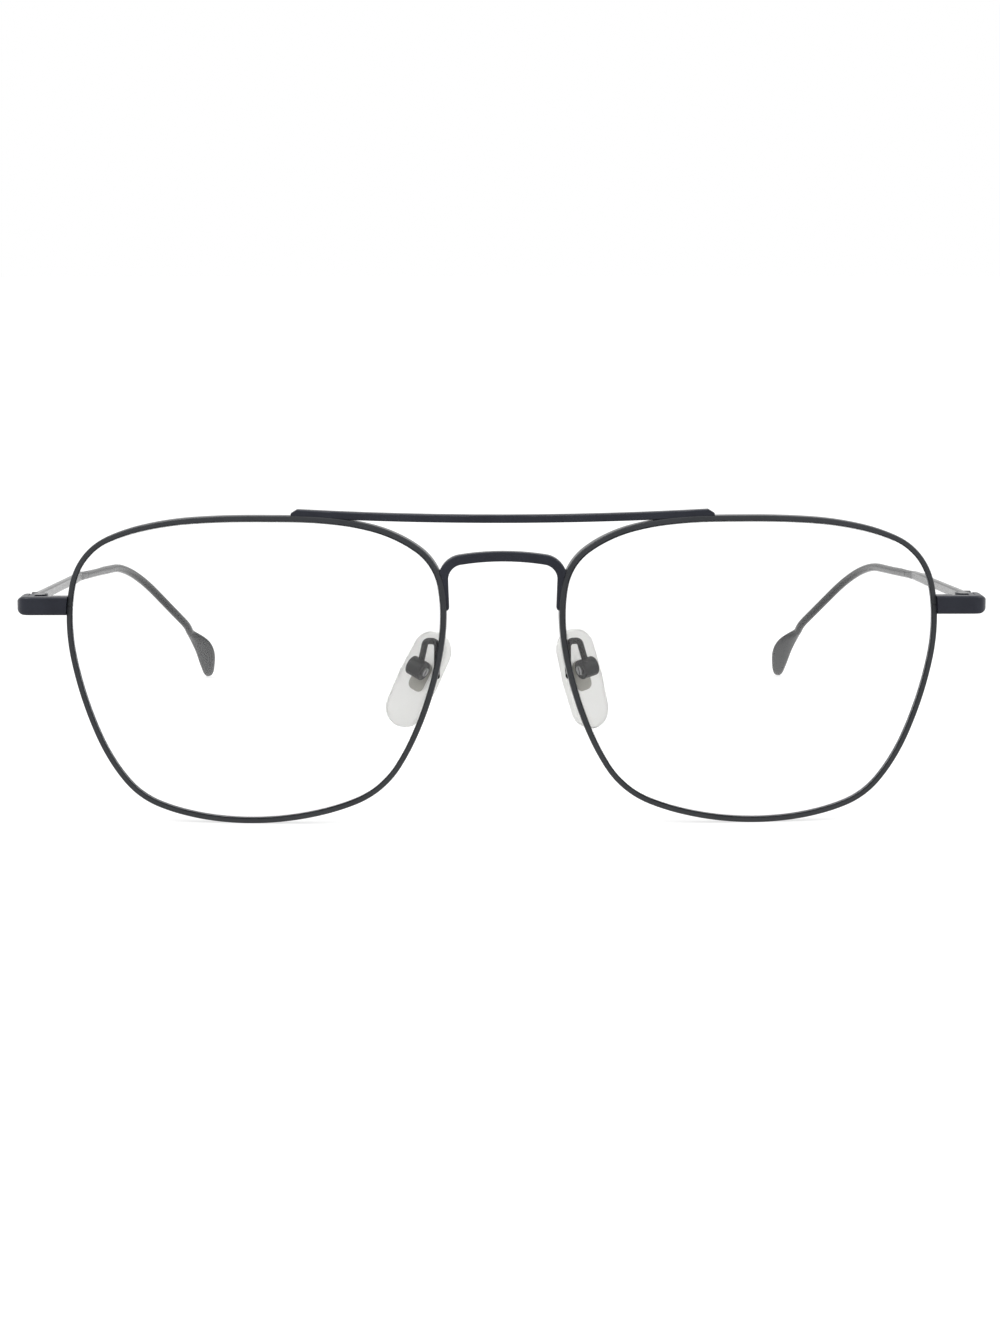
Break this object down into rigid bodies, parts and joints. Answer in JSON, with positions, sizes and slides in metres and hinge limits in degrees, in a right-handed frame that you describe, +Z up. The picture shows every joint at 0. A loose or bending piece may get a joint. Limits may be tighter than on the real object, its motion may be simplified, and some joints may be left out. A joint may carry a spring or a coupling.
{
  "type": "eyeglasses",
  "caption": "Double bridge eyeglasses with soft square lenses, slim metal rims, adjustable clear nose pads and folding wire temples.",
  "frame": {"origin": "middle of the whole object seen from above, at the level of the table that the rims and temple tips stand on", "axes": "+X to the wearer's left, +Y back along the open temples, +Z up; the front faces -Y"},
  "size_m": [0.1374, 0.1398, 0.0447],
  "materials": {
    "frame_paint": "dark navy satin lacquer",
    "temple_paint": "dark slate satin lacquer",
    "lens": "clear, polished, with a fine ground edge",
    "pad_metal": "dark satin",
    "screw_steel": "plain steel",
    "pad_silicone": "clear, slightly milky, soft",
    "pad_core": "milky plastic"
  },
  "bodies": {
    "front": {"right_rim": "frame_paint", "left_rim": "frame_paint", "right_lens": "lens", "left_lens": "lens", "bridge": "frame_paint", "top_bar": "frame_paint", "right_end_piece": "frame_paint", "left_end_piece": "frame_paint", "right_rim_lock_upper": "frame_paint", "left_rim_lock_upper": "frame_paint", "right_rim_lock_lower": "frame_paint", "left_rim_lock_lower": "frame_paint", "right_rim_screw": "screw_steel", "left_rim_screw": "screw_steel", "right_front_hinge": "frame_paint", "left_front_hinge": "frame_paint", "right_hinge_screw": "screw_steel", "left_hinge_screw": "screw_steel", "right_pad_arm": "pad_metal", "left_pad_arm": "pad_metal", "right_pad_box": "pad_metal", "left_pad_box": "pad_metal", "right_pad_screw": "screw_steel", "left_pad_screw": "screw_steel"},
    "right_temple": {"right_temple": "temple_paint", "right_temple_hinge": "temple_paint"},
    "left_temple": {"left_temple": "temple_paint", "left_temple_hinge": "temple_paint"},
    "right_pad": {"right_nose_pad": "pad_silicone", "right_pad_core": "pad_core"},
    "left_pad": {"left_nose_pad": "pad_silicone", "left_pad_core": "pad_core"}
  },
  "joints": [
    {"name": "right_temple_fold", "type": "hinge", "parent": "front", "child": "right_temple", "pos_m": [-0.06587, -0.06064, 0.03075], "axis": [0, 0, -1], "range_deg": [0, 76]},
    {"name": "left_temple_fold", "type": "hinge", "parent": "front", "child": "left_temple", "pos_m": [0.06587, -0.06064, 0.03075], "axis": [0, 0, 1], "range_deg": [0, 84]},
    {"name": "right_pad_rock", "type": "hinge", "parent": "front", "child": "right_pad", "pos_m": [-0.0121, -0.06256, 0.0216], "axis": [-0.7686, 0.5184, 0.3749], "range_deg": [-8, 8]},
    {"name": "left_pad_rock", "type": "hinge", "parent": "front", "child": "left_pad", "pos_m": [0.0121, -0.06256, 0.0216], "axis": [-0.8119, -0.5476, -0.2024], "range_deg": [-8, 8]}
  ]
}
